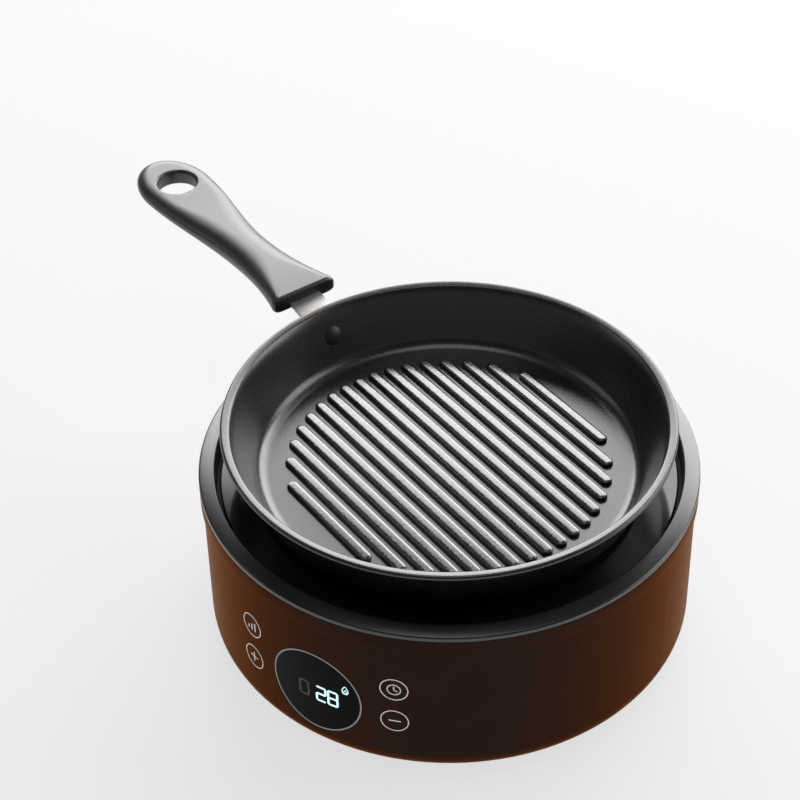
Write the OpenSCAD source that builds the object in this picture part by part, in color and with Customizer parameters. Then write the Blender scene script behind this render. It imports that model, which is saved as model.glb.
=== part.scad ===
// Round countertop induction cooker with a ridged pan that lifts off its glass plate.
// Origin on the drum's axis in the plane that the feet stand on, +Z up, display towards -Y.

/* [Drum] */
// Outer radius of the drum wall
wall_r = 129.8; // [120:0.1:145]
// Thickness of the drum wall
wall_t = 2.8; // [2:0.1:4]
// Height of the drum wall without the feet
drum_h = 85.8; // [80:0.1:110]
// Rounding of the lower edge
edge_round = 12; // [8:0.5:16]
// Height of the rubber feet
foot_h = 4; // [2:0.5:10]
// Radius of a rubber foot
foot_r = 9; // [6:0.5:11]
// Thickness of the floor plate
floor_t = 2.8; // [2:0.1:4]

/* [Top] */
// How far the upper band stands proud of the drum wall
band_step = 1.2; // [0.6:0.1:2.5]
// Height of the upper band
band_h = 10.2; // [8:0.1:16]
// Height of the black ring on the band
ring_h = 4; // [3:0.1:6]
// Radial width of the black ring
ring_w = 8.7; // [7.5:0.1:11]
// Drop of the ring's face from its inner to its outer edge
ring_drop = 1.4; // [0.5:0.1:2]
// Depth from the ring's inner edge to the glass
recess = 9; // [7:0.1:11]
// Thickness of the glass plate
glass_t = 4; // [3:0.1:5]
// Groove between the glass and the ring
glass_gap = 2.3; // [1.5:0.1:3]

/* [Panel] */
// Radius of the round display window
window_r = 25.4; // [22:0.1:30]
// Thickness of the window
window_t = 1.6; // [1:0.1:2]
// Depth of the window's centre below the ring's inner edge
window_drop = 59.2; // [55:0.1:62]
// Angle between the window and each column of keys
key_angle = 19.4; // [17:0.1:21]
// Height of the keys' middle above the window's centre
key_lift = 6.4; // [0:0.1:8]
// Height between the upper and the lower key
key_pitch = 22.5; // [20:0.5:28]
// Radius of a touch pad behind the wall
pad_r = 5; // [3:0.1:6]

/* [Pan] */
// Height of the pan
pan_h = 35.5; // [30:0.1:60]
// Radius of the flat underside
pan_base_r = 97; // [90:0.1:99]
// Lean of the wall from upright
pan_lean = 23; // [15:0.5:25]
// Thickness of the pan's wall
pan_wall = 2.8; // [2:0.1:4]
// Thickness of the pan's floor
pan_floor = 3.6; // [2.5:0.1:5]
// Outer rounding at the foot of the wall
corner_out = 6; // [4:0.1:8]
// Inner rounding at the foot of the wall
corner_in = 8; // [5:0.1:12]
// Radius of the rounded rim
bead_r = 3.3; // [2.8:0.1:4]
// Distance from ridge to ridge
ridge_pitch = 9.5; // [8:0.1:14]
// Height of a ridge
ridge_h = 2.2; // [1:0.1:3]
// Half width of a ridge's foot, and the radius of its round sides
ridge_r = 3.2; // [2.5:0.1:4]
// Radius of the ridged field
ridge_field_r = 86; // [70:0.5:90]
// Radius of the steel disc in the underside
disc_r = 80; // [60:0.5:90]
// Thickness of the steel disc
disc_t = 1.2; // [0.6:0.1:1.6]

/* [Handle] */
// Direction of the handle, counted from +X
handle_angle = 157.6; // [150:0.1:210]
// Distance from the pan's axis to the grip's near end
grip_start = 134.5; // [130:0.5:150]
// Length of the grip
grip_len = 168.5; // [140:0.5:190]
// Half width of the grip's near end
grip_near = 20.4; // [14:0.1:23]
// Half width of the grip's waist
grip_waist = 13.2; // [9:0.1:16]
// Half width of the grip at the hang hole
grip_far = 21.2; // [17:0.1:23]
// Distance from the near end to the waist
waist_at = 58; // [45:0.5:70]
// Thickness of the grip at its near end
grip_t = 10.2; // [9:0.1:16]
// Thickness of the grip at the hang hole
grip_end_t = 9.5; // [7:0.1:11]
// How far the far end's top lies below the near end's top
grip_dip = 3.9; // [1:0.1:6]
// How far the underside swells below the waist
grip_belly = 2.9; // [0:0.1:5]
// Radius of the hang hole
hang_r = 11.6; // [8:0.1:14]
// Distance from the hang hole's centre to the grip's far end
hang_inset = 30.5; // [24:0.5:34]
// Width of the steel strap
strap_w = 19.5; // [14:0.5:24]
// Thickness of the steel strap
strap_t = 2.4; // [1.5:0.1:3]
// How far the strap climbs from the rim to the grip
strap_climb = 3; // [1.5:0.1:5]
// Length of the strap inside the grip
strap_in = 34; // [26:0.5:45]
// Depth of the rivet below the rim's top
rivet_drop = 14; // [13:0.1:16]
// Radius of the rivet's head
rivet_head_r = 5.8; // [3:0.1:7]

/* [Coil] */
// Radius of the coil's first turn
coil_r = 22; // [18:0.5:28]
// Number of turns
coil_turns = 14; // [12:1:14]
// Radial step from turn to turn
coil_pitch = 4.4; // [4.3:0.1:4.8]
// Radius of the wound wire
wire_r = 1.9; // [1:0.1:1.9]
// Gap between the coil and the glass
coil_gap = 5.2; // [3:0.1:8]
// Thickness of the coil former
former_t = 2.4; // [2:0.1:4]

/* [Inside] */
// Length of the power board
board_len = 90; // [86:0.5:96]
// Width of the power board
board_wid = 100; // [96:0.5:106]
// Thickness of the circuit boards
board_t = 1.6; // [1:0.1:2]
// Height of the power board above the floor plate
board_lift = 9.2; // [7:0.1:14]
// Radius of the fan's ring
fan_r = 41; // [36:0.5:42]
// Height of the fan
fan_h = 17; // [15:0.5:25]
// Number of fan blades
fan_blades = 7; // [5:1:9]
// Width of the mains socket
inlet_w = 28; // [24:0.5:32]
// Height of the mains socket
inlet_h = 21.6; // [20:0.5:26]

/* [Hidden] */
$fn = 96;

// Clearances: sliding faces, glued or screwed faces, running shaft, overlap for clean cuts
slip = 0.3;
snug = 0.02;
run = 0.05;
cut = 1;

// Colours
brown = [0.20, 0.14, 0.11];
black = [0.07, 0.07, 0.07];
soot = [0.03, 0.03, 0.03];
steel = [0.78, 0.78, 0.78];
copper = [0.72, 0.42, 0.22];
green = [0.05, 0.30, 0.15];

// Levels and radii of the drum
body_z = foot_h;
floor_top_z = body_z + floor_t;
wall_top_z = body_z + drum_h;
wall_in_r = wall_r - wall_t;
flat_r = wall_r - edge_round;
ledge_w = 7.8;
base_open_r = flat_r - ledge_w;
flange_t = 2.5;
flange_in = 0.8;
flange_r = flat_r - flange_in;
flange_w = 6;

// Levels and radii of the top
band_r = wall_r + band_step;
band_top_z = wall_top_z + band_h;
ring_top_z = band_top_z + ring_h;
ring_in_r = band_r - ring_w;
collar_t = 1.9;
collar_r = ring_in_r + collar_t;
glass_top_z = ring_top_z - recess;
glass_low_z = glass_top_z - glass_t;
glass_r = ring_in_r - glass_gap;
gasket_t = 0.6;
seat_z = glass_low_z - gasket_t;
seat_t = 3;
seat_w = 16;
seat_in_r = glass_r - seat_w;
gasket_w = 10;
gasket_drop = 1.4;
spigot_r = wall_in_r - slip;
spigot_h = 2.4;
seat_low_z = min(seat_z - seat_t, wall_top_z - spigot_h);

// Panel
window_z = ring_top_z - window_drop;
window_trim = 0.9;
pocket_r = window_r + window_trim + slip;
window_proud = 0.1;
panel_w = 100;
panel_h = 60;
pillar_r = 3;
pillar_len = 6;
pillar_x = panel_w / 2 - pillar_r;
pillar_z = panel_h / 2 - pillar_r;
panel_y = sqrt(pow(wall_in_r, 2) - pow(pillar_x, 2)) - pillar_len;
panel_back_y = panel_y - board_t;
digit_w = 38;
digit_h = 21;
digit_gap = 1.4;
digit_y = sqrt(pow(wall_in_r, 2) - pow(digit_w / 2, 2)) - digit_gap;
window_lip = 3;
buzzer_r = 6;
buzzer_h = 7;

// Screws: radius of the thread and of the head, the head's height, and the room below the tip
screw_r = 1.5;
head_r = 2.8;
head_h = 1.6;
tip_gap = 0.8;

// Floor screws stand under the ledge, feet under the floor plate
ledge_mid_r = flat_r - ledge_w / 2;
floor_screws = 6;
foot_edge = 5;
foot_at = base_open_r - foot_r - foot_edge;
feet = [75, 165, 255, 345];
floor_angles = [for (i = [0 : floor_screws - 1]) 15 + i * 360 / floor_screws];
stem_r = 3;

// Coil and its former on three posts
former_top_z = glass_low_z - coil_gap - 2 * wire_r;
former_z = former_top_z - former_t;
coil_end_r = coil_r + coil_turns * coil_pitch;
post_r = 5;
post_edge = 2.7;
post_at = coil_end_r + wire_r + head_r + post_edge;
post_thread = 12;
former_edge = 1;
former_r = post_at + post_r + former_edge;
posts = [-10, 100, 235];
coil_start = 240;
bar_t = 4;
bar_w = 11;
bar_start = 8;
bar_end = 2;
sleeve_r = 9;
sensor_r = 6;
sleeve_floor = 3;
sensor_wire_r = 4;

// Power board and what stands on it
board_edge = 3;
board_end_x = coil_r * cos(coil_start) + board_edge;
board_x = board_end_x - board_len;
board_z = floor_top_z + board_lift;
board_top_z = board_z + board_t;
board_hole = 6;
standoff_r = 3.5;
sink_w = 46;
sink_len = 70;
sink_h = 28;
sink_base = 5;
sink_fins = 9;
fin_t = 2;
sink_edge = 6;
sink_x = board_end_x - sink_edge - sink_w;
leg_h = 3;
leg_t = 1.2;
leg_w = 1.6;
transistor_size = [5, 16, 20];
transistor_inset = 7;
transistor_legs = 3;
bridge_size = [4, 25, 16];
bridge_inset = 8;
bridge_legs = 4;
cap_w = 20;
cap_len = 25;
cap_h = 22;
cap_edge = 4;
cap_gap = 3;
cap_start = 14;
choke_x = 17;
choke_y = 17;
plug_d = 6;
plug_h = 3.4;
plug_edge = 1;
cable_w = 14;
cable_t = 0.8;
cable_lift = 1;
cable_off = 26;
plug_side = 1.5;
cable_x = [sink_x + cable_off, sink_x + cable_off + cable_w];
cable_z = board_top_z + cable_lift;
plug_y = -board_wid / 2 + plug_edge;

// Fan
fan_x = 50;
fan_y = 28;
fan_z = floor_top_z;
fan_ring_t = 2.5;
fan_deck = 2.2;
hub_r = 13;
hub_wall = 2;
shaft_r = 1.5;
rotor_lift = 1.5;
rotor_sink = 2;
rotor_z = fan_z + fan_deck + rotor_lift;
rotor_top_z = fan_z + fan_h - rotor_sink;
blade_gap = 1.2;
blade_r = fan_r - fan_ring_t - blade_gap;
blade_t = 1.6;
blade_tilt = 40;
lugs = [90, 210, 330];
lug_r = 4.5;
lug_h = 4.2;
lug_out = 3;
fan_thread = 1.6;
lug_at = fan_r + lug_out;
arm_w = 4;
arm_bite = 2;
arm_end = 1;

// Ring slots under the fan, counted from the middle outwards
grille_rings = 3;
grille_pitch = 9;
grille_slot = 6;
grille_edge = 6;
spoke_w = 4;
function grille_r(i) = fan_r - grille_edge - (grille_rings - i) * grille_pitch;

// Mains socket on a flat pad at the back
inlet_rim = 4;
inlet_z = body_z + edge_round + inlet_h / 2 + inlet_rim;
inlet_low_z = inlet_z - inlet_h / 2;
inlet_top_z = inlet_z + inlet_h / 2;
inlet_depth = 20;
pad_rim = inlet_rim + 1;
pad_half = inlet_w / 2 + pad_rim;
pad_t = 1;
pad_y = sqrt(pow(wall_in_r, 2) - pow(pad_half, 2)) - pad_t;
inlet_out = 3.2;
inlet_face_y = pad_y + inlet_out;
inlet_flange = 2.4;
socket_wall = 2.6;
socket_depth = 16;
pin_x = 7;
pin_z = 2;
pin_back = 6;
pin_tip = 5;
pin_w = 2;
pin_h = 4;
lead_edge = 14;
lead_in = [4, 10];
lead_r = 1.5;
lead_bend = 4;
lead_land_x = board_end_x - lead_edge;

// Air outlets on both sides of the socket
vents = [45, 105];
vent_count = 7;
vent_step = 5;
vent_w = 3;
vent_h = 30;
vent_lift = 6;
vent_z = body_z + edge_round + vent_lift;

// Pan levels: the outer wall is a cone that touches the outer rounding
rest_gap = 0.1;
pan_z = glass_top_z + rest_gap;
pan_floor_z = pan_z + pan_floor;
bead_z = pan_z + pan_h - bead_r;
wall_across = pan_wall / cos(pan_lean);
function pan_out(z) = pan_base_r + corner_out * cos(pan_lean)
  + (z - pan_z - corner_out * (1 - sin(pan_lean))) * tan(pan_lean);
function pan_in(z) = pan_out(z) - wall_across;
corner_in_z = pan_floor_z + corner_in;
corner_in_r = pan_in(corner_in_z) - corner_in / cos(pan_lean);
bead_at = pan_in(bead_z) + bead_r;
ridge_sink = 0.4;

// Handle levels, along X before it is turned into place
strap_gap = 0.6;
strap_z = bead_z - bead_r - strap_gap - strap_t;
strap_bend_x = bead_at + bead_r;
strap_in_z = strap_z + strap_climb;
strap_cover = 6;
grip_top_z = strap_in_z + strap_t + strap_cover;
grip_end_x = grip_start + grip_len;
waist_x = grip_start + waist_at;
hang_x = grip_end_x - hang_inset;
hang_flat = 2;
hang_flat_x = hang_x - hang_r - hang_flat;
grip_corner = 3;
corner_turn = 75;
corner_steps = 5;
grip_steps = 12;
rivet_z = pan_z + pan_h - rivet_drop;
rivet_r = 2.5;
rivet_dome = 1.9;
strap_foot = 8;
foot_plate = 3;
foot_side = 3;
rivet_tail = 1.6;
grip_thread = 2.6;
grip_screw_x = grip_start + strap_in / 2;

// Half width of the grip: flares from its waist to both ends, then closes round the hang hole
function ease(t) = (1 - cos(180 * t)) / 2;
function near_half(x) = grip_waist
  + (grip_near - grip_waist) * pow((waist_x - x) / (waist_at - grip_corner), 2);
function far_half(x) = grip_waist + (grip_far - grip_waist) * ease((x - waist_x) / (hang_x - waist_x));
function grip_half(x) = x < waist_x ? near_half(x) : far_half(x);
// Top and underside of the grip: level at the hang hole
function share_at(x) = min(1, max(0, (x - grip_start) / (hang_flat_x - grip_start)));
function dip_at(x) = ease(share_at(x));
function belly_at(x) = pow(sin(180 * share_at(x)), 2);
function grip_top(x) = grip_top_z - grip_dip * dip_at(x);
function grip_low(x) = grip_top(x) - grip_t + (grip_t - grip_end_t) * dip_at(x) - grip_belly * belly_at(x);
function spread(a, b, n) = [for (i = [0 : n]) a + (b - a) * i / n];

// Solid of revolution between two radii and two heights
module tube(r_in, r_out, z0, z1) {
  translate([0, 0, z0]) difference() {
    cylinder(r = r_out, h = z1 - z0);
    translate([0, 0, -cut]) cylinder(r = r_in, h = z1 - z0 + 2 * cut);
  }
}

module disc(r, z0, z1) {
  translate([0, 0, z0]) cylinder(r = r, h = z1 - z0);
}

module box(x0, x1, y0, y1, z0, z1) {
  translate([x0, y0, z0]) cube([x1 - x0, y1 - y0, z1 - z0]);
}

// Copies at the given angles, a given distance from the axis
module around(angles, r) {
  for (a = angles) rotate([0, 0, a]) translate([r, 0, 0]) children();
}

// Cylinder that runs along -Y from y0 to y1, seen from the front
module front_bar(r, y0, y1) {
  translate([0, -y0, 0]) rotate([90, 0, 0]) cylinder(r = r, h = y1 - y0);
}

// Pan-head screw that points down from its head's seat at z = 0
module screw(len) {
  translate([0, 0, -len]) cylinder(r = screw_r, h = len + snug);
  cylinder(r = head_r, h = head_h);
}

// Section of the drum, drawn in by an inset from its outer face
module drum_section(inset) {
  translate([0, body_z + edge_round]) square([wall_r - inset, drum_h - edge_round + (inset > 0 ? cut : 0)]);
  translate([0, body_z + inset]) square([flat_r, edge_round]);
  translate([flat_r, body_z + edge_round]) circle(edge_round - inset);
}

// Keeps a rib inside the drum, with its root in the middle of the wall
module within_wall() {
  intersection() {
    children();
    rotate_extrude() drum_section(wall_t / 2);
  }
}

module window_shape(r) {
  translate([0, 0, window_z]) front_bar(r, wall_in_r / 2, wall_r + 2 * window_t);
}

module panel_points() {
  for (x = [-pillar_x, pillar_x], z = [-pillar_z, pillar_z]) translate([x, 0, window_z + z]) children();
}

module lower_housing() {
  color(brown) difference() {
    union() {
      rotate_extrude() difference() {
        drum_section(0);
        drum_section(wall_t);
        square([base_open_r, floor_top_z + cut]);
      }
      within_wall() panel_points() front_bar(pillar_r, panel_y, wall_r);
      within_wall() box(-pad_half, pad_half, pad_y, wall_r, inlet_low_z - pad_rim, inlet_top_z + pad_rim);
    }
    intersection() {
      window_shape(pocket_r);
      tube(wall_r - window_t, 2 * wall_r, body_z, wall_top_z);
    }
    window_shape(window_r - window_lip);
    panel_points() front_bar(screw_r + snug, panel_y - cut, panel_y + pillar_len);
    tube(wall_r - 1, band_r, wall_top_z - 0.6, wall_top_z + cut);
    box(-inlet_w / 2 - slip, inlet_w / 2 + slip, pad_y - cut, band_r, inlet_low_z - slip, inlet_top_z + slip);
    for (v = vents, i = [0 : vent_count - 1]) rotate([0, 0, v + i * vent_step])
      box(wall_in_r - 2, band_r, -vent_w / 2, vent_w / 2, vent_z, vent_z + vent_h);
    around(floor_angles, ledge_mid_r) {
      disc(screw_r + run, body_z - cut, floor_top_z + cut);
      disc(head_r + run, body_z - cut, body_z + head_h);
    }
  }
}

module upper_cover() {
  skirt_r = collar_r + slip;
  color(brown) rotate_extrude() {
    translate([skirt_r, wall_top_z]) square([band_r - skirt_r, band_h]);
    translate([skirt_r, seat_low_z]) square([spigot_r - skirt_r, wall_top_z - seat_low_z]);
    translate([seat_in_r, seat_low_z]) square([skirt_r - seat_in_r, seat_z - seat_low_z]);
  }
}

module top_ring() {
  soft = 0.7;
  color(black) rotate_extrude() {
    translate([ring_in_r, seat_z + cut]) square([collar_r - ring_in_r, band_top_z - seat_z]);
    polygon([[ring_in_r, band_top_z], [band_r, band_top_z], [band_r, ring_top_z - ring_drop - soft],
      [band_r - soft, ring_top_z - ring_drop], [ring_in_r + soft, ring_top_z],
      [ring_in_r, ring_top_z - soft]]);
  }
}

module glass_plate() {
  bevel = 0.6;
  color(soot) rotate_extrude() polygon([[0, glass_low_z], [glass_r, glass_low_z],
    [glass_r, glass_top_z - bevel], [glass_r - bevel, glass_top_z], [0, glass_top_z]]);
}

module glass_gasket() {
  color(black) {
    tube(glass_r - gasket_w, ring_in_r - slip, seat_z, glass_low_z);
    tube(glass_r + slip, ring_in_r - slip, seat_z, glass_top_z - gasket_drop);
  }
}

module display_window() {
  color(soot) intersection() {
    window_shape(window_r);
    tube(wall_r - window_t + snug, wall_r + window_proud, body_z, wall_top_z);
  }
}

module window_ring() {
  color(steel) difference() {
    intersection() {
      window_shape(window_r + window_trim);
      tube(wall_r - window_t + snug, wall_r + 2 * window_proud, body_z, wall_top_z);
    }
    window_shape(window_r + snug);
  }
}

module fan_place() {
  translate([fan_x, fan_y, 0]) children();
}

module bottom_cover() {
  color(black) difference() {
    union() {
      disc(base_open_r - slip, body_z, floor_top_z);
      tube(base_open_r - flange_w, base_open_r - slip, body_z + cut, floor_top_z + flange_t);
      tube(base_open_r - flange_w, flange_r, floor_top_z, floor_top_z + flange_t);
      around(posts, post_at) disc(post_r, body_z + cut, former_z);
      board_points() disc(standoff_r, body_z + cut, board_z);
    }
    fan_place() difference() {
      for (i = [1 : grille_rings])
        tube(grille_r(i) - grille_slot, grille_r(i), body_z - cut, floor_top_z + cut);
      for (a = [45, 135]) rotate([0, 0, a])
        box(-fan_r, fan_r, -spoke_w / 2, spoke_w / 2, body_z - 2 * cut, floor_top_z + 2 * cut);
    }
    around(feet, foot_at) disc(stem_r + run, body_z - cut, floor_top_z + cut);
    around(floor_angles, ledge_mid_r)
      disc(screw_r + snug, floor_top_z - cut, floor_top_z + flange_t + cut);
    around(posts, post_at) disc(screw_r + snug, former_z - post_thread - tip_gap, former_z + cut);
    board_points() disc(screw_r + snug, floor_top_z, board_z + cut);
    fan_place() around(lugs, lug_at)
      disc(screw_r + snug, floor_top_z - fan_thread - tip_gap, floor_top_z + cut);
  }
}

module rubber_feet() {
  color(soot) around(feet, foot_at) {
    disc(foot_r, 0, foot_h);
    disc(stem_r, foot_h - snug, floor_top_z);
  }
}

module base_screws() {
  color(steel) around(floor_angles, ledge_mid_r)
    translate([0, 0, body_z + head_h]) mirror([0, 0, 1]) screw(floor_t + flange_t - head_h - 2 * run);
}

module coil_former() {
  color([0.85, 0.83, 0.76]) difference() {
    disc(former_r, former_z, former_top_z);
    disc(sensor_wire_r, former_z - cut, former_top_z + cut);
    around(posts, post_at) disc(screw_r + run, former_z - cut, former_top_z + cut);
    for (r = [coil_r, coil_end_r]) around([coil_start], r)
      disc(wire_r + slip, former_z - cut, former_top_z + cut);
  }
}

// Half turns about two centres join into one spiral
module induction_coil() {
  color(copper) rotate([0, 0, coil_start]) translate([0, 0, former_top_z + wire_r])
    for (i = [0 : 2 * coil_turns - 1])
      translate([i % 2 == 0 ? 0 : coil_pitch / 2, 0, 0]) rotate([0, 0, 180 * (i % 2)])
        rotate_extrude(angle = 180) translate([coil_r + i * coil_pitch / 2, 0]) circle(wire_r, $fn = 32);
}

module ferrite_bars() {
  color([0.18, 0.18, 0.19]) for (a = [30 : 60 : 330]) rotate([0, 0, a])
    box(coil_r + bar_start, post_at - post_r - bar_end, -bar_w / 2, bar_w / 2, former_z - bar_t, former_z);
}

module former_screws() {
  color(steel) around(posts, post_at) translate([0, 0, former_top_z]) screw(former_t + post_thread);
}

module sensor_sleeve() {
  color([0.75, 0.28, 0.18]) difference() {
    disc(sleeve_r, former_top_z, glass_low_z);
    disc(sensor_r, former_top_z + sleeve_floor, glass_low_z + cut);
  }
}

module plate_sensor() {
  color(steel) disc(sensor_r - run, former_top_z + sleeve_floor, glass_low_z);
}

// Screw places of the power board
module board_points() {
  for (x = [board_x + board_hole, board_end_x - board_hole], y = [-1, 1])
    translate([x, y * (board_wid / 2 - board_hole), 0]) children();
}

module power_board() {
  color(green) difference() {
    union() {
      box(board_x, board_end_x, -board_wid / 2, board_wid / 2, board_z, board_top_z);
      box(cable_x[0] - plug_side, cable_x[1] + plug_side, plug_y, plug_y + plug_d, board_top_z,
        board_top_z + plug_h);
    }
    board_points() disc(screw_r + run, board_z - cut, board_top_z + cut);
  }
}

module board_screws() {
  color(steel) board_points() translate([0, 0, board_top_z]) screw(board_t + board_lift - tip_gap);
}

module heat_sink() {
  fin_step = (sink_w - fin_t) / (sink_fins - 1);
  color([0.72, 0.73, 0.75]) {
    box(sink_x, sink_x + sink_w, -sink_len / 2, sink_len / 2, board_top_z, board_top_z + sink_base);
    for (i = [0 : sink_fins - 1]) translate([sink_x + i * fin_step, 0, 0])
      box(0, fin_t, -sink_len / 2, sink_len / 2, board_top_z, board_top_z + sink_h);
  }
}

// Flat package on legs, with its back against the heat sink's side; size is [thick, wide, tall]
module package(y0, size, legs) {
  translate([sink_x, y0, board_top_z]) {
    box(-size[0], 0, 0, size[1], leg_h, leg_h + size[2]);
    for (i = [1 : legs]) translate([-size[0] / 2, i * size[1] / (legs + 1), 0])
      box(-leg_t / 2, leg_t / 2, -leg_w / 2, leg_w / 2, 0, leg_h + snug);
  }
}

module power_transistor() {
  color(black) package(-sink_len / 2 + transistor_inset, transistor_size, transistor_legs);
}

module bridge_rectifier() {
  color(black) package(sink_len / 2 - bridge_inset - bridge_size[1], bridge_size, bridge_legs);
}

module filter_capacitors() {
  color([0.80, 0.62, 0.20]) for (i = [0, 1])
    translate([board_x + cap_edge, -board_wid / 2 + cap_start + i * (cap_len + cap_gap), board_top_z])
      cube([cap_w, cap_len, cap_h]);
}

module filter_choke() {
  ring = 8;
  core = 3.5;
  color(copper) translate([board_x + choke_x, board_wid / 2 - choke_y, board_top_z + core])
    rotate_extrude() translate([ring, 0]) intersection() {
      circle(core + 0.8, $fn = 48);
      square(2 * core, center = true);
    }
}

module fan_frame() {
  color(soot) fan_place() difference() {
    union() {
      tube(fan_r - fan_ring_t, fan_r, fan_z, fan_z + fan_h);
      disc(hub_r, fan_z, fan_z + fan_deck);
      for (a = lugs) rotate([0, 0, a + 60])
        box(hub_r - arm_bite, fan_r - arm_end, -arm_w / 2, arm_w / 2, fan_z, fan_z + fan_deck);
      around(lugs, lug_at) disc(lug_r, fan_z, fan_z + lug_h);
    }
    disc(blade_r + 1, fan_z + fan_deck, fan_z + fan_h + cut);
    around(lugs, lug_at) disc(screw_r + run, fan_z - cut, fan_z + lug_h + cut);
  }
}

module fan_stator() {
  color(copper) fan_place() difference() {
    union() {
      disc(shaft_r + 2, fan_z + fan_deck, rotor_top_z - hub_wall - 0.4);
      disc(hub_r - hub_wall - 1.5, fan_z + fan_deck + 1, rotor_top_z - hub_wall - 1.5);
    }
    disc(shaft_r + run, fan_z + fan_deck + 0.5, rotor_top_z);
  }
}

module fan_rotor() {
  color(black) fan_place() {
    difference() {
      disc(hub_r, rotor_z, rotor_top_z);
      disc(hub_r - hub_wall, rotor_z - cut, rotor_top_z - hub_wall);
      disc(shaft_r + snug, rotor_z, rotor_top_z + cut);
    }
    intersection() {
      tube(hub_r - hub_wall / 2, blade_r, rotor_z, rotor_top_z);
      for (i = [0 : fan_blades - 1]) rotate([0, 0, i * 360 / fan_blades])
        translate([0, 0, (rotor_z + rotor_top_z) / 2]) rotate([blade_tilt, 0, 0])
          box(hub_r - hub_wall, fan_r, -fan_h, fan_h, -blade_t / 2, blade_t / 2);
    }
  }
}

module fan_shaft() {
  color(steel) fan_place() disc(shaft_r, fan_z + fan_deck + 0.6, rotor_top_z);
}

module fan_screws() {
  color(steel) fan_place() around(lugs, lug_at)
    translate([0, 0, fan_z + lug_h]) screw(lug_h + fan_thread);
}

module display_board() {
  color(green) difference() {
    box(-panel_w / 2, panel_w / 2, -panel_y, -panel_back_y, window_z - panel_h / 2, window_z + panel_h / 2);
    panel_points() front_bar(screw_r + run, panel_back_y - cut, panel_y + cut);
  }
}

module digit_display() {
  color(soot) translate([0, 0, window_z])
    box(-digit_w / 2, digit_w / 2, -digit_y, -panel_y, -digit_h / 2, digit_h / 2);
}

module touch_pads() {
  color(black) difference() {
    intersection() {
      for (a = [-key_angle, key_angle], z = [-key_pitch / 2, key_pitch / 2])
        translate([0, 0, window_z + key_lift + z]) rotate([0, 0, a])
          front_bar(pad_r, panel_y - 2 * pad_r, wall_r);
      disc(wall_in_r - slip / 2, body_z, wall_top_z);
    }
    box(-wall_r, wall_r, -panel_y, 0, body_z, wall_top_z);
  }
}

module panel_screws() {
  color(steel) panel_points() translate([0, -panel_back_y, 0]) rotate([-90, 0, 0])
    screw(board_t + pillar_len - tip_gap);
}

module buzzer() {
  color(black) translate([-panel_w / 4, 0, window_z + panel_h / 4])
    front_bar(buzzer_r, panel_back_y - buzzer_h, panel_back_y);
}

module pin_places() {
  for (p = [[-pin_x, -pin_z], [0, pin_z], [pin_x, -pin_z]]) translate([p[0], 0, inlet_z + p[1]]) children();
}

module pin_blade(y0, y1, room) {
  box(-pin_w / 2 - room, pin_w / 2 + room, y0, y1, -pin_h / 2 - room, pin_h / 2 + room);
}

module power_inlet() {
  color(soot) difference() {
    union() {
      box(-inlet_w / 2, inlet_w / 2, pad_y - inlet_depth, inlet_face_y, inlet_low_z, inlet_top_z);
      box(-inlet_w / 2 - inlet_rim, inlet_w / 2 + inlet_rim, pad_y - inlet_flange, pad_y,
        inlet_low_z - inlet_rim, inlet_top_z + inlet_rim);
    }
    box(-inlet_w / 2 + socket_wall, inlet_w / 2 - socket_wall, inlet_face_y - socket_depth,
      inlet_face_y + cut, inlet_low_z + socket_wall, inlet_top_z - socket_wall);
    pin_places() pin_blade(pad_y - inlet_depth - cut, inlet_face_y, run);
  }
}

module inlet_pins() {
  color(steel) pin_places() pin_blade(pad_y - inlet_depth - pin_back, inlet_face_y - pin_tip, 0);
}

// Quarter bend that leaves along +X and turns towards +Y
module bend(radius, r) {
  translate([0, radius, 0]) rotate([0, 0, -90]) rotate_extrude(angle = 90)
    translate([radius, 0]) circle(r, $fn = 32);
}

// A lead runs in from its pin, turns towards the board and turns down onto it
module mains_lead(x, y_turn) {
  z = inlet_z - pin_z;
  y_pin = pad_y - inlet_depth - pin_back;
  translate([x, y_pin, z]) rotate([90, 0, 0]) cylinder(r = lead_r, h = y_pin - y_turn - lead_bend);
  translate([x, y_turn + lead_bend, z]) rotate([0, 0, -90]) mirror([0, 1, 0]) bend(lead_bend, lead_r);
  translate([x - lead_bend, y_turn, z]) rotate([0, -90, 0])
    cylinder(r = lead_r, h = x - lead_land_x - 2 * lead_bend);
  translate([lead_land_x + lead_bend, y_turn, z]) rotate([-90, 0, 180]) bend(lead_bend, lead_r);
  translate([lead_land_x, y_turn, board_top_z]) cylinder(r = lead_r, h = z - lead_bend - board_top_z);
}

module mains_leads() {
  color([0.45, 0.25, 0.12]) mains_lead(-pin_x, board_wid / 2 - lead_in[0]);
  color([0.15, 0.25, 0.60]) mains_lead(pin_x, board_wid / 2 - lead_in[1]);
}

// The inner lead drops straight onto the board, the outer one turns in over the board's edge
module coil_leads() {
  lead = wire_r - 0.1;
  end_x = coil_end_r * cos(coil_start);
  end_y = coil_end_r * sin(coil_start);
  over_z = board_top_z + 2 * lead_bend;
  land_y = -board_wid / 2 + lead_in[0];
  turn = lead_bend;
  color(copper) {
    around([coil_start], coil_r) disc(lead, board_top_z, former_top_z);
    translate([end_x, end_y, 0]) {
      disc(lead, over_z + turn, former_top_z);
      translate([0, 0, over_z + turn]) rotate([90, 0, 90]) rotate([0, 0, -90]) bend(turn, lead);
      translate([0, turn, over_z]) rotate([-90, 0, 0]) cylinder(r = lead, h = land_y - end_y - 2 * turn);
    }
    translate([end_x, land_y - turn, over_z]) rotate([90, 0, 90]) mirror([0, 1, 0]) bend(turn, lead);
    translate([end_x, land_y, board_top_z]) cylinder(r = lead, h = over_z - turn - board_top_z);
  }
}

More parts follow.
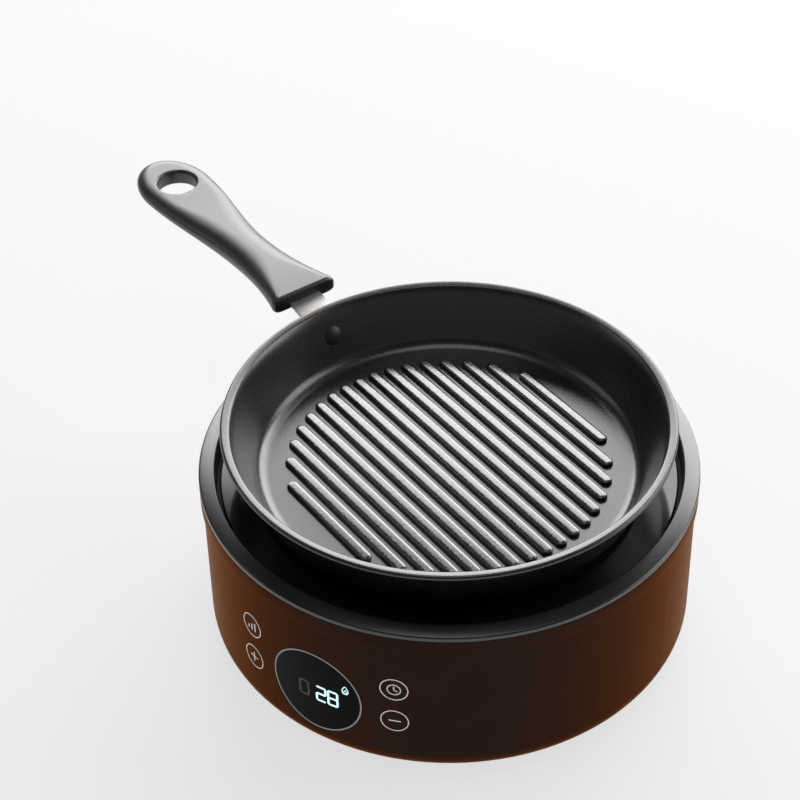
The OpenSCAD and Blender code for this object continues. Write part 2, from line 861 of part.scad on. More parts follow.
module display_cable() {
  color([0.85, 0.85, 0.82]) box(cable_x[0], cable_x[1], -panel_back_y, plug_y, cable_z, cable_z + cable_t);
}

module pan_outside() {
  polygon([[0, pan_z], [pan_base_r, pan_z], [pan_base_r, pan_z + corner_out],
    [pan_out(pan_z + corner_out * (1 - sin(pan_lean))), pan_z + corner_out * (1 - sin(pan_lean))],
    [pan_out(bead_z), bead_z], [0, bead_z]]);
  translate([pan_base_r, pan_z + corner_out]) circle(corner_out);
}

module pan_inside() {
  touch_z = corner_in_z - corner_in * sin(pan_lean);
  polygon([[0, pan_floor_z], [corner_in_r, pan_floor_z], [corner_in_r, corner_in_z],
    [pan_in(touch_z), touch_z], [pan_in(bead_z + cut), bead_z + cut], [0, bead_z + cut]]);
  translate([corner_in_r, corner_in_z]) circle(corner_in);
}

// Frame of the rivet: Z points into the pan, square to its wall
module rivet_frame() {
  translate([pan_in(rivet_z), 0, rivet_z]) rotate([0, pan_lean - 90, 0]) children();
}

module on_handle() {
  rotate([0, 0, handle_angle]) children();
}

// Rods with round ends, sunk into the pan's floor
module ridges() {
  rows = floor((ridge_field_r - ridge_r) / ridge_pitch);
  intersection() {
    disc(ridge_field_r, pan_floor_z - cut, pan_floor_z + ridge_h);
    for (i = [-rows : rows]) {
      half = sqrt(pow(ridge_field_r - ridge_r, 2) - pow(i * ridge_pitch, 2));
      translate([-half, i * ridge_pitch, pan_floor_z - ridge_sink + max(0, ridge_h + ridge_sink - ridge_r)]) {
        rotate([0, 90, 0]) cylinder(r = ridge_r, h = 2 * half);
        sphere(r = ridge_r);
        translate([2 * half, 0, 0]) sphere(r = ridge_r);
      }
    }
  }
}

module pan_body() {
  color(soot) on_handle() difference() {
    union() {
      rotate_extrude() difference() {
        pan_outside();
        pan_inside();
      }
      rotate_extrude() translate([bead_at, bead_z]) circle(bead_r);
      ridges();
    }
    disc(disc_r + slip, pan_z - cut, pan_z + disc_t + snug);
    rivet_frame() translate([0, 0, -3 * pan_wall]) cylinder(r = rivet_r + run, h = 6 * pan_wall);
  }
}

module induction_disc() {
  color(steel) disc(disc_r, pan_z, pan_z + disc_t);
}

// Solid cone of the pan's outer wall, a hair larger
module wall_cone() {
  low_z = pan_z + corner_out;
  translate([0, 0, low_z])
    cylinder(r1 = pan_out(low_z) + snug, r2 = pan_out(bead_z) + snug, h = bead_z - low_z);
}

// Side view of the strap: level under the rim, then up to its place in the grip
module strap_side() {
  path = [[pan_in(strap_z), strap_z], [strap_bend_x, strap_z], [grip_start, strap_in_z],
    [grip_start + strap_in, strap_in_z]];
  polygon(concat(path, [for (i = [len(path) - 1 : -1 : 0]) path[i] + [0, strap_t]]));
}

module handle_tang() {
  color(steel) on_handle() difference() {
    union() {
      rotate([90, 0, 0]) linear_extrude(strap_w, center = true) strap_side();
      rivet_frame() box(-strap_foot, strap_foot, -strap_w / 2 - foot_side, strap_w / 2 + foot_side,
        -pan_wall - foot_plate, 0);
    }
    wall_cone();
    rivet_frame() disc(rivet_r + run, -pan_wall - foot_plate - cut, cut);
    translate([grip_screw_x, 0, strap_in_z - cut]) cylinder(r = screw_r + slip, h = strap_t + 2 * cut);
  }
}

module handle_rivet() {
  back = pan_wall + foot_plate;
  ball = (pow(rivet_head_r, 2) + pow(rivet_dome, 2)) / (2 * rivet_dome);
  color(steel) on_handle() rivet_frame() {
    intersection() {
      translate([0, 0, rivet_dome - ball + snug]) sphere(r = ball);
      disc(rivet_head_r, 0.4, 2 * rivet_dome);
    }
    disc(rivet_r, -back, 0.5);
    disc(rivet_head_r - rivet_tail / 2, -back - rivet_tail, -back);
  }
}

module grip_plan() {
  xs = spread(grip_start + grip_corner, hang_x, 2 * grip_steps);
  near = [for (a = spread(90, 90 - corner_turn, corner_steps))
    [grip_start + grip_corner * (1 - sin(a)), grip_near - grip_corner + grip_corner * cos(a)]];
  flank = [for (x = xs) [x, grip_half(x)]];
  tip = [for (a = spread(0, 90, grip_steps)) [hang_x + hang_inset * sin(a), grip_far * cos(a)]];
  half = concat(near, flank, tip);
  polygon(concat(half, [for (i = [len(half) - 1 : -1 : 0]) [half[i][0], -half[i][1]]]));
}

module grip_side() {
  xs = concat(spread(grip_start - cut, hang_flat_x, grip_steps), [grip_end_x + cut]);
  polygon(concat([for (x = xs) [x, grip_top(x)]],
    [for (i = [len(xs) - 1 : -1 : 0]) [xs[i], grip_low(xs[i])]]));
}

module handle_grip() {
  screw_top_z = strap_in_z + strap_t + grip_thread;
  low_z = grip_top_z - grip_dip - max(grip_t, grip_end_t) - grip_belly - cut;
  color(soot) on_handle() difference() {
    intersection() {
      translate([0, 0, low_z]) linear_extrude(grip_top_z + cut - low_z) grip_plan();
      rotate([90, 0, 0]) linear_extrude(4 * grip_far, center = true) grip_side();
    }
    translate([hang_x, 0, pan_z]) cylinder(r = hang_r, h = 2 * pan_h);
    box(grip_start - cut, grip_start + strap_in + snug, -strap_w / 2 - run, strap_w / 2 + run,
      strap_in_z - snug, strap_in_z + strap_t + snug);
    translate([grip_screw_x, 0, 0]) {
      disc(screw_r + snug, pan_z, screw_top_z + tip_gap);
      disc(head_r + run, pan_z, grip_low(grip_screw_x) + head_h);
    }
  }
}

module grip_screw() {
  seat = grip_low(grip_screw_x) + head_h;
  color(steel) on_handle() translate([grip_screw_x, 0, seat]) mirror([0, 0, 1])
    screw(strap_in_z + strap_t + grip_thread - seat);
}

lower_housing();
upper_cover();
top_ring();
glass_plate();
glass_gasket();
display_window();
window_ring();
bottom_cover();
rubber_feet();
base_screws();
coil_former();
induction_coil();
ferrite_bars();
former_screws();
plate_sensor();
sensor_sleeve();
power_board();
board_screws();
heat_sink();
power_transistor();
bridge_rectifier();
filter_capacitors();
filter_choke();
fan_frame();
fan_stator();
fan_rotor();
fan_shaft();
fan_screws();
display_board();
digit_display();
touch_pads();
panel_screws();
buzzer();
power_inlet();
inlet_pins();
mains_leads();
coil_leads();
display_cable();
pan_body();
induction_disc();
handle_tang();
handle_rivet();
handle_grip();
grip_screw();
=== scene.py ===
import math

import bmesh
import bpy
from mathutils import Matrix, Vector


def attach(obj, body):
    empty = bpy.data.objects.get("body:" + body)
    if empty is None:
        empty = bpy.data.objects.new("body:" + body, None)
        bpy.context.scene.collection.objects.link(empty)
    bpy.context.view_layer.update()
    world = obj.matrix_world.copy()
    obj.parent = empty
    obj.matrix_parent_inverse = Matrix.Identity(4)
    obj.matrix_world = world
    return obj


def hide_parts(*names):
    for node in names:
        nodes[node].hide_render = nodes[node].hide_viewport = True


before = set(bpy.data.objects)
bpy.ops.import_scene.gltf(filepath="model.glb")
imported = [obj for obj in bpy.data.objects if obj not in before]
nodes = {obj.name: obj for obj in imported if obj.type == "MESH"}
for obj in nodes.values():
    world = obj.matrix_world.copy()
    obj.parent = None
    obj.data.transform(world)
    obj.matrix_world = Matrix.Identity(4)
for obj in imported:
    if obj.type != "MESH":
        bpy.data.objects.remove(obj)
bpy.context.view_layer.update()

scene = bpy.context.scene
scene.view_settings.view_transform = "Standard"
mm = 0.001
mergeGap, tinyEdge = 1e-6, 1e-7  # in metres


# Mesh helpers: all shapes are given in millimetres

def fromPoints(name, points, faces):
    mesh = bpy.data.meshes.new(name)
    mesh.from_pydata([(x * mm, y * mm, z * mm) for x, y, z in points], [], faces)
    piece = bpy.data.objects.new(name, mesh)
    scene.collection.objects.link(piece)
    return piece


def settle(piece, crease=40):
    # doubles merged, faces outward, smooth apart from real edges
    work = bmesh.new()
    work.from_mesh(piece.data)
    bmesh.ops.remove_doubles(work, verts=work.verts, dist=mergeGap)
    bmesh.ops.dissolve_degenerate(work, edges=work.edges, dist=tinyEdge)
    bmesh.ops.recalc_face_normals(work, faces=work.faces)
    for face in work.faces:
        face.smooth = True
    for edge in work.edges:
        edge.smooth = len(edge.link_faces) == 2 and edge.calc_face_angle() < math.radians(crease)
    work.to_mesh(piece.data)
    work.free()
    return piece


def arc(cx, cy, r, start, end, steps):
    # points on a circle, angles in degrees
    turns = [math.radians(start + (end - start) * i / steps) for i in range(steps + 1)]
    return [(cx + r * math.cos(t), cy + r * math.sin(t)) for t in turns]


def soften(corners, steps=6):
    # closed outline whose corners (x, y, fillet) are rounded
    outline = []
    for i, (x, y, fillet) in enumerate(corners):
        here = Vector((x, y))
        back = (Vector(corners[i - 1][:2]) - here).normalized()
        ahead = (Vector(corners[(i + 1) % len(corners)][:2]) - here).normalized()
        if fillet <= 0:
            outline.append((x, y))
            continue
        half = back.angle(ahead) / 2
        reach = fillet / math.tan(half)
        middle = here + (back + ahead).normalized() * fillet / math.sin(half)
        a, b = here + back * reach - middle, here + ahead * reach - middle
        sweep = a.angle_signed(b)
        for k in range(steps + 1):
            t = -sweep * k / steps
            outline.append((middle.x + a.x * math.cos(t) - a.y * math.sin(t),
                            middle.y + a.x * math.sin(t) + a.y * math.cos(t)))
    return outline


def lathe(name, profile, steps=256, loop=False, crease=40):
    # turns a profile of (radius, height) about the Z axis
    turns = [2 * math.pi * i / steps for i in range(steps)]
    points, rings, faces = [], [], []
    for r, z in profile:
        if r == 0:
            rings.append([len(points)] * steps)
            points.append((0, 0, z))
        else:
            rings.append(list(range(len(points), len(points) + steps)))
            points += [(r * math.cos(t), r * math.sin(t), z) for t in turns]
    for a, b in zip(rings, rings[1:] + (rings[:1] if loop else [])):
        for i in range(steps):
            j = (i + 1) % steps
            faces.append(list(dict.fromkeys((a[i], a[j], b[j], b[i]))))
    return settle(fromPoints(name, points, faces), crease)


def hoop(low, high, count):
    # faces between two closed rows of points
    return [[low + i, low + (i + 1) % count, high + (i + 1) % count, high + i] for i in range(count)]


def turned(points, angle):
    # points swung about the Z axis, angle in degrees
    c, s = math.cos(math.radians(angle)), math.sin(math.radians(angle))
    return [(c * x - s * y, s * x + c * y, z) for x, y, z in points]


def dress(piece, body, slotName, *replaced):
    # one material, the body it rides on, its slot and the frame pieces it stands in for
    piece.data.materials.clear()
    piece.data.materials.append(finishes[slotName])
    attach(piece, body)
    if replaced:
        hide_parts(*replaced)
    return piece


# Materials: each one varies in colour, gloss and relief on Object coordinates

def nodeIn(tree, kind, **values):
    node = tree.nodes.new(kind)
    for key, value in values.items():
        if key in node.inputs:
            node.inputs[key].default_value = value
        else:
            setattr(node, key, value)
    return node


noiseLow, noiseHigh = 0.3, 0.7  # most of a noise lies between these


def finish(name, light, dark, rough, roughSpan=0.06, blotch=45, grain=1500, relief=0.012, stretch=(1, 1, 1),
           **sockets):
    made = bpy.data.materials.new(name)
    made.use_nodes = True
    tree = made.node_tree
    shader = tree.nodes["Principled BSDF"]
    for key, value in sockets.items():
        shader.inputs[key].default_value = value
    place = nodeIn(tree, "ShaderNodeTexCoord")
    mapping = nodeIn(tree, "ShaderNodeMapping", Scale=stretch)
    cloud = nodeIn(tree, "ShaderNodeTexNoise", Scale=blotch, Detail=4.0)
    speck = nodeIn(tree, "ShaderNodeTexNoise", Scale=grain, Detail=3.0)
    ramp = nodeIn(tree, "ShaderNodeValToRGB")
    for element, spot, tone in zip(ramp.color_ramp.elements, (noiseLow, noiseHigh), (dark, light)):
        element.position, element.color = spot, (*tone, 1)
    gloss = nodeIn(tree, "ShaderNodeMapRange")
    for key, value in (("From Min", noiseLow), ("From Max", noiseHigh),
                       ("To Min", rough - roughSpan), ("To Max", rough + roughSpan)):
        gloss.inputs[key].default_value = value
    bump = nodeIn(tree, "ShaderNodeBump", Distance=relief * mm)
    link = tree.links.new
    link(place.outputs["Object"], mapping.inputs["Vector"])
    for noise in (cloud, speck):
        link(mapping.outputs["Vector"], noise.inputs["Vector"])
    link(cloud.outputs["Fac"], ramp.inputs["Fac"])
    link(speck.outputs["Fac"], gloss.inputs["Value"])
    link(speck.outputs["Fac"], bump.inputs["Height"])
    link(ramp.outputs["Color"], shader.inputs["Base Color"])
    link(gloss.outputs["Result"], shader.inputs["Roughness"])
    link(bump.outputs["Normal"], shader.inputs["Normal"])
    finishes[name] = made
    return made


finishes = {}
finish("housing_brown", (0.0190, 0.0119, 0.0106), (0.0157, 0.0098, 0.0088), 0.40, grain=1800, relief=0.010,
       **{"Metallic": 0.9, "Specular Tint": (1.0, 0.55, 0.35, 1)})
finish("ring_black", (0.009, 0.009, 0.009), (0.006, 0.006, 0.006), 0.23, 0.015, grain=2400, relief=0.001,
       **{"Specular IOR Level": 0.95})
finish("hob_glass", (0.006, 0.006, 0.006), (0.004, 0.004, 0.004), 0.09, 0.02, relief=0.0005)
finish("seal_rubber", (0.006, 0.006, 0.006), (0.004, 0.004, 0.004), 0.7, relief=0.02)
finish("window_black", (0.0024, 0.0024, 0.0026), (0.0018, 0.0018, 0.0018), 0.08, 0.02, relief=0.0004,
       **{"Specular IOR Level": 0.04})
finish("trim_silver", (0.30, 0.30, 0.31), (0.24, 0.24, 0.25), 0.28, relief=0.002, Metallic=1.0)
finish("floor_black", (0.014, 0.013, 0.012), (0.010, 0.010, 0.009), 0.55, grain=2600, relief=0.03)
finish("foot_rubber", (0.020, 0.020, 0.020), (0.012, 0.012, 0.012), 0.8, grain=2200, relief=0.03)
finish("screw_steel", (0.55, 0.55, 0.56), (0.42, 0.42, 0.43), 0.3, relief=0.004, Metallic=1.0)
finish("former_cream", (0.55, 0.48, 0.36), (0.48, 0.41, 0.30), 0.6, relief=0.02)
finish("coil_copper", (0.52, 0.22, 0.10), (0.36, 0.14, 0.06), 0.35, grain=3000, relief=0.03, Metallic=1.0)
finish("ferrite_grey", (0.07, 0.07, 0.075), (0.05, 0.05, 0.055), 0.65, relief=0.03)
finish("sensor_metal", (0.60, 0.58, 0.54), (0.48, 0.46, 0.43), 0.3, relief=0.006, Metallic=1.0)
finish("sleeve_silicone", (0.62, 0.60, 0.57), (0.55, 0.53, 0.50), 0.7, relief=0.02)
finish("board_green", (0.02, 0.13, 0.06), (0.012, 0.09, 0.04), 0.4, relief=0.01)
finish("sink_aluminium", (0.62, 0.63, 0.64), (0.52, 0.53, 0.54), 0.36, relief=0.01, stretch=(1, 30, 1),
       Metallic=1.0)
finish("chip_black", (0.018, 0.018, 0.018), (0.012, 0.012, 0.012), 0.5, relief=0.02)
finish("capacitor_yellow", (0.62, 0.40, 0.05), (0.54, 0.34, 0.04), 0.45, relief=0.01)
finish("fan_black", (0.016, 0.016, 0.016), (0.011, 0.011, 0.011), 0.45, relief=0.02)
finish("digit_black", (0.012, 0.012, 0.012), (0.008, 0.008, 0.008), 0.4, relief=0.01)
finish("pad_foam", (0.06, 0.06, 0.06), (0.04, 0.04, 0.04), 0.9, grain=900, relief=0.08)
finish("inlet_black", (0.013, 0.013, 0.013), (0.009, 0.009, 0.009), 0.5, grain=2200, relief=0.02)
finish("pin_brass", (0.68, 0.47, 0.17), (0.55, 0.37, 0.12), 0.25, relief=0.004, Metallic=1.0)
finish("lead_brown", (0.14, 0.06, 0.03), (0.11, 0.045, 0.022), 0.5, relief=0.01)
finish("cable_white", (0.66, 0.66, 0.64), (0.57, 0.57, 0.55), 0.55, relief=0.01)
finish("pan_coating", (0.013, 0.013, 0.0133), (0.009, 0.009, 0.0092), 0.28, 0.05, blotch=70, grain=2400,
       relief=0.006, **{"Specular IOR Level": 1.0})
finish("ridgeGloss", (0.013, 0.013, 0.0133), (0.009, 0.009, 0.0092), 0.2, 0.1, blotch=90, grain=900,
       relief=0.03, **{"Specular IOR Level": 1.0, "Coat Weight": 0.9, "Coat Roughness": 0.12})
finish("disc_steel", (0.56, 0.56, 0.56), (0.44, 0.44, 0.44), 0.32, blotch=90, relief=0.01, Metallic=1.0)
finish("tang_steel", (0.50, 0.485, 0.475), (0.42, 0.408, 0.40), 0.46, relief=0.006, stretch=(1, 1, 6),
       Metallic=1.0)
finish("rivet_steel", (0.020, 0.019, 0.0195), (0.014, 0.0135, 0.0135), 0.45, grain=2600, relief=0.012)
finish("grip_black", (0.014, 0.014, 0.0145), (0.010, 0.010, 0.0105), 0.36, 0.05, grain=3200, relief=0.010,
       **{"Specular IOR Level": 0.9})

wearers = {
    "housing_brown": ["lower_housing", "upper_cover"], "ring_black": ["top_ring"],
    "hob_glass": ["glass_plate"], "seal_rubber": ["glass_gasket"], "window_black": ["display_window"],
    "trim_silver": ["window_ring"],
    "floor_black": ["bottom_cover"], "foot_rubber": ["rubber_feet"],
    "screw_steel": ["base_screws", "former_screws", "board_screws", "fan_screws", "panel_screws",
                    "grip_screw", "fan_shaft"],
    "former_cream": ["coil_former"],
    "coil_copper": ["induction_coil", "coil_leads", "filter_choke", "fan_stator"],
    "ferrite_grey": ["ferrite_bars"], "sensor_metal": ["plate_sensor"], "sleeve_silicone": ["sensor_sleeve"],
    "board_green": ["power_board", "display_board"], "sink_aluminium": ["heat_sink"],
    "chip_black": ["power_transistor", "bridge_rectifier", "buzzer"],
    "capacitor_yellow": ["filter_capacitors"],
    "fan_black": ["fan_frame", "fan_rotor"], "digit_black": ["digit_display"], "pad_foam": ["touch_pads"],
    "inlet_black": ["power_inlet"], "pin_brass": ["inlet_pins"], "lead_brown": ["mains_leads"],
    "cable_white": ["display_cable"], "pan_coating": ["pan_body"], "disc_steel": ["induction_disc"],
    "tang_steel": ["handle_tang"], "rivet_steel": ["handle_rivet"], "grip_black": ["handle_grip"]}
for slotName, names in wearers.items():
    for name in names:
        for holder in nodes[name].material_slots:
            holder.material = finishes[slotName]
print("finishes on", sum(map(len, wearers.values())), "of", len(nodes), "frame pieces")


# Upper band and black ring

band = dict(bandR=131.0, lowZ=89.8, topZ=100.0, skirtR=124.5, spigotR=126.7, seatLowZ=87.4, seatZ=90.4,
            seatInR=104.0, lowEdge=0.7, topEdge=0.3)
upperBand = lathe("upperBand", soften([
    (band["seatInR"], band["seatLowZ"], 0), (band["spigotR"], band["seatLowZ"], 0),
    (band["spigotR"], band["lowZ"], 0), (band["bandR"], band["lowZ"], band["lowEdge"]),
    (band["bandR"], band["topZ"], band["topEdge"]), (band["skirtR"], band["topZ"], 0),
    (band["skirtR"], band["seatZ"], 0), (band["seatInR"], band["seatZ"], 0)]), loop=True)
dress(upperBand, "base", "housing_brown", "upper_cover")

ring = dict(inR=122.3, outR=131.0, lowZ=100.0, topZ=104.0, drop=1.4, collarR=124.2, collarZ=91.4, inEdge=1.0,
            outEdge=1.1, lowEdge=0.3, edgeSteps=8)
topRing = lathe("topRing", soften([
    (ring["inR"], ring["collarZ"], 0), (ring["collarR"], ring["collarZ"], 0),
    (ring["collarR"], ring["lowZ"], 0), (ring["outR"], ring["lowZ"], ring["lowEdge"]),
    (ring["outR"], ring["topZ"] - ring["drop"], ring["outEdge"]),
    (ring["inR"], ring["topZ"], ring["inEdge"])], ring["edgeSteps"]), loop=True)
dress(topRing, "base", "ring_black", "top_ring")
print("upper band and ring turned")


# Pan: a turned shell, with ridges from Geometry Nodes

pan = dict(baseR=97.0, lowZ=95.1, floorZ=98.7, lean=23.0, wall=2.8, cornerOut=6.0, cornerIn=8.0, beadR=3.3,
           beadZ=127.3, lipEdge=1.5, lipUnder=-48.0, lipLean=7.0, lipFlat=0.62, lipBlend=5.5, discR=80.3,
           discDepth=1.22, discEdge=0.25, angle=157.6, turnSteps=320)
panRows = dict(outZ=(104, 108, 112, 116, 120, 122.6), inZ=(122, 118, 114, 110), floorR=(80, 40, 0),
               neck=((123.9, 123.9, 0.12), (124.4, 124.5, 0.45)),  # wall height, own height, flare
               outCorner=10, lip=14, blend=10, inCorner=12)  # steps round each bend
leanT = math.tan(math.radians(pan["lean"]))
leanC = math.cos(math.radians(pan["lean"]))


def panOut(z):
    # outer radius of the leaning wall at a height
    rise = z - pan["lowZ"] - pan["cornerOut"] * (1 - math.sin(math.radians(pan["lean"])))
    return pan["baseR"] + pan["cornerOut"] * leanC + rise * leanT


def panIn(z):
    return panOut(z) - pan["wall"] / leanC


def panProfile():
    inZ = pan["floorZ"] + pan["cornerIn"]
    inR = panIn(inZ) - pan["cornerIn"] / leanC
    beadX = panIn(pan["beadZ"]) + pan["beadR"]
    under = [(panOut(z), z) for z in panRows["outZ"]]
    neck = [(panOut(wallZ) + flare, z) for wallZ, z, flare in panRows["neck"]]
    # rim: a broad lip, cut back underneath, that leans inwards and runs softly into the inner wall
    lip, lean = pan["lipEdge"], math.radians(pan["lipLean"])
    rimOut = arc(beadX + pan["beadR"] - lip, pan["beadZ"] + pan["beadR"] - lip, lip,
                 pan["lipUnder"], 90 + pan["lipLean"], panRows["lip"])
    outer, along = Vector(rimOut[-1]), Vector((-math.cos(lean), -math.sin(lean)))
    reach = (outer.x - panIn(outer.y)) / (math.cos(lean) - leanT * math.sin(lean))
    start, pull = outer + along * reach * pan["lipFlat"], outer + along * reach
    end = Vector((panIn(pull.y - pan["lipBlend"]), pull.y - pan["lipBlend"]))
    blend = [k / panRows["blend"] for k in range(panRows["blend"] + 1)]
    sweep = [tuple(start * (1 - t) ** 2 + pull * 2 * t * (1 - t) + end * t ** 2) for t in blend]
    inside = sweep + [(panIn(z), z) for z in panRows["inZ"]]
    recessZ, edge = pan["lowZ"] + pan["discDepth"], pan["discEdge"]
    outMiddle = pan["lowZ"] + pan["cornerOut"]
    return ([(0, recessZ), (pan["discR"], recessZ), (pan["discR"], pan["lowZ"] + edge),
             (pan["discR"] + edge, pan["lowZ"])]
            + arc(pan["baseR"], outMiddle, pan["cornerOut"], -90, -pan["lean"], panRows["outCorner"])
            + under + neck + rimOut + inside
            + arc(inR, inZ, pan["cornerIn"], -pan["lean"], -90, panRows["inCorner"])
            + [(r, pan["floorZ"]) for r in panRows["floorR"]])


panShell = lathe("panShell", panProfile(), pan["turnSteps"], crease=50)
dress(panShell, "pan", "pan_coating", "pan_body")

ridges = dict(fieldR=86.0, pitch=9.5, rows=8, half=3.2, height=2.2, sunk=0.6, flatness=2.6, segments=40,
              rings=17)


def ridgeTree():
    tree = bpy.data.node_groups.new("ridgeField", "GeometryNodeTree")
    tree.is_modifier = True
    face = tree.interface
    face.new_socket("Geometry", in_out="OUTPUT", socket_type="NodeSocketGeometry")
    for name, kind in (("Half Field", "NodeSocketFloat"), ("Pitch", "NodeSocketFloat"),
                       ("Rows", "NodeSocketInt"), ("Ridge Half", "NodeSocketFloat"),
                       ("Ridge Height", "NodeSocketFloat"), ("Flatness", "NodeSocketFloat"),
                       ("Floor Height", "NodeSocketFloat"), ("Sunk", "NodeSocketFloat"),
                       ("Turn", "NodeSocketFloat"), ("Coating", "NodeSocketMaterial")):
        face.new_socket(name, in_out="INPUT", socket_type=kind)
    add, link = tree.nodes.new, tree.links.new
    given = add("NodeGroupInput").outputs

    def maths(operation, a, b=None):
        node = add("ShaderNodeMath")
        node.operation = operation
        for socket, value in zip(node.inputs, (a, b)):
            if value is None:
                continue
            if isinstance(value, (int, float)):
                socket.default_value = value
            else:
                link(value, socket)
        return node.outputs[0]

    def joined(x=0.0, y=0.0, z=0.0):
        node = add("ShaderNodeCombineXYZ")
        for socket, value in zip(node.inputs, (x, y, z)):
            if isinstance(value, float):
                socket.default_value = value
            else:
                link(value, socket)
        return node.outputs[0]

    # one point for each ridge, across the field
    line = add("GeometryNodeMeshLine")
    link(maths("ADD", maths("MULTIPLY", given["Rows"], 2), 1), line.inputs["Count"])
    reach = maths("MULTIPLY", maths("MULTIPLY", given["Rows"], given["Pitch"]), -1)
    link(joined(0.0, reach, 0.0), line.inputs["Start Location"])
    link(joined(0.0, given["Pitch"], 0.0), line.inputs["Offset"])
    # a ball on its side, pulled apart into a rod with round ends
    ball = add("GeometryNodeMeshUVSphere")
    ball.inputs["Segments"].default_value = ridges["segments"]
    ball.inputs["Rings"].default_value = ridges["rings"]
    link(given["Ridge Half"], ball.inputs["Radius"])
    lay = add("GeometryNodeTransform")
    lay.inputs["Rotation"].default_value = (0, math.pi / 2, 0)
    link(ball.outputs["Mesh"], lay.inputs["Geometry"])
    spot = add("GeometryNodeInputPosition")
    apart = add("ShaderNodeSeparateXYZ")
    link(spot.outputs[0], apart.inputs[0])
    # half the chord of the round field at each ridge
    squares = [maths("POWER", value, 2) for value in (given["Half Field"], apart.outputs["Y"])]
    half = maths("SQRT", maths("SUBTRACT", *squares))
    store = add("GeometryNodeStoreNamedAttribute")
    store.data_type, store.domain = "FLOAT", "POINT"
    store.inputs["Name"].default_value = "half"
    link(line.outputs["Mesh"], store.inputs["Geometry"])
    link(half, store.inputs["Value"])
    copies = add("GeometryNodeInstanceOnPoints")
    link(store.outputs["Geometry"], copies.inputs["Points"])
    link(lay.outputs["Geometry"], copies.inputs["Instance"])
    real = add("GeometryNodeRealizeInstances")
    link(copies.outputs["Instances"], real.inputs["Geometry"])
    known = add("GeometryNodeInputNamedAttribute")
    known.data_type = "FLOAT"
    known.inputs["Name"].default_value = "half"
    pull = add("GeometryNodeSetPosition")
    link(real.outputs["Geometry"], pull.inputs["Geometry"])
    # the round back is pressed flat: height times 1 - (1 - z / half) to the power of the flatness
    left = maths("SUBTRACT", 1, maths("DIVIDE", apart.outputs["Z"], given["Ridge Half"]))
    back = maths("SUBTRACT", 1, maths("POWER", maths("MAXIMUM", left, 0), given["Flatness"]))
    level = maths("MAXIMUM", maths("MULTIPLY", back, given["Ridge Height"]),
                  maths("MULTIPLY", given["Sunk"], -1))
    apartX = maths("MULTIPLY", maths("SIGN", apart.outputs["X"]), known.outputs["Attribute"])
    link(joined(maths("ADD", apart.outputs["X"], apartX), apart.outputs["Y"],
                maths("ADD", level, given["Floor Height"])), pull.inputs["Position"])
    swing = add("GeometryNodeTransform")
    link(pull.outputs["Geometry"], swing.inputs["Geometry"])
    link(joined(0.0, 0.0, given["Turn"]), swing.inputs["Rotation"])
    smooth = add("GeometryNodeSetShadeSmooth")
    link(swing.outputs["Geometry"], smooth.inputs["Geometry"])
    coat = add("GeometryNodeSetMaterial")
    link(smooth.outputs["Geometry"], coat.inputs["Geometry"])
    link(given["Coating"], coat.inputs["Material"])
    link(coat.outputs["Geometry"], add("NodeGroupOutput").inputs["Geometry"])
    return tree


def fromNodes(name, tree, values):
    # runs a node tree once and keeps its result as a plain mesh
    holder = fromPoints(name + "Source", [], [])
    modifier = holder.modifiers.new("build", "NODES")
    modifier.node_group = tree
    for item in tree.interface.items_tree:
        if item.in_out == "INPUT" and item.name in values:
            modifier[item.identifier] = values[item.name]
    grown = holder.evaluated_get(bpy.context.evaluated_depsgraph_get())
    mesh = bpy.data.meshes.new_from_object(grown)
    mesh.name = name
    holder.modifiers.remove(modifier)
    bpy.data.objects.remove(holder)
    piece = bpy.data.objects.new(name, mesh)
    scene.collection.objects.link(piece)
    return piece


panRidges = settle(fromNodes("panRidges", ridgeTree(), {
    "Half Field": (ridges["fieldR"] - ridges["half"]) * mm, "Pitch": ridges["pitch"] * mm,
    "Rows": ridges["rows"], "Ridge Half": ridges["half"] * mm, "Ridge Height": ridges["height"] * mm,
    "Flatness": ridges["flatness"], "Floor Height": pan["floorZ"] * mm, "Sunk": ridges["sunk"] * mm,
    "Turn": math.radians(pan["angle"]), "Coating": finishes["pan_coating"]}))
dress(panRidges, "pan", "pan_coating")
panRidges.data.materials[0] = finishes["ridgeGloss"]  # the same coating, polished by use
print("pan turned, ridges:", 2 * ridges["rows"] + 1)


# Handle: steel strap with its foot on the wall, and the moulded grip

strap = dict(half=9.75, lowZ=121.0, thick=2.4, climb=3.0, nearX=111.4, bendX=118.2, riseEnd=134.5, farX=166.0,
             edge=0.45)
strapRun = [(strap["nearX"], 0.0), (strap["bendX"], 0.0), (strap["riseEnd"], strap["climb"]),
            (strap["farX"], strap["climb"])]
foot = dict(rivetZ=116.6, half=12.0, reach=8.0, thick=3.0, edge=0.8, corner=3.0, buried=0.6)


def roundedBox(x0, y0, x1, y1, fillet, steps):
    return soften([(x0, y0, fillet), (x1, y0, fillet), (x1, y1, fillet), (x0, y1, fillet)], steps)


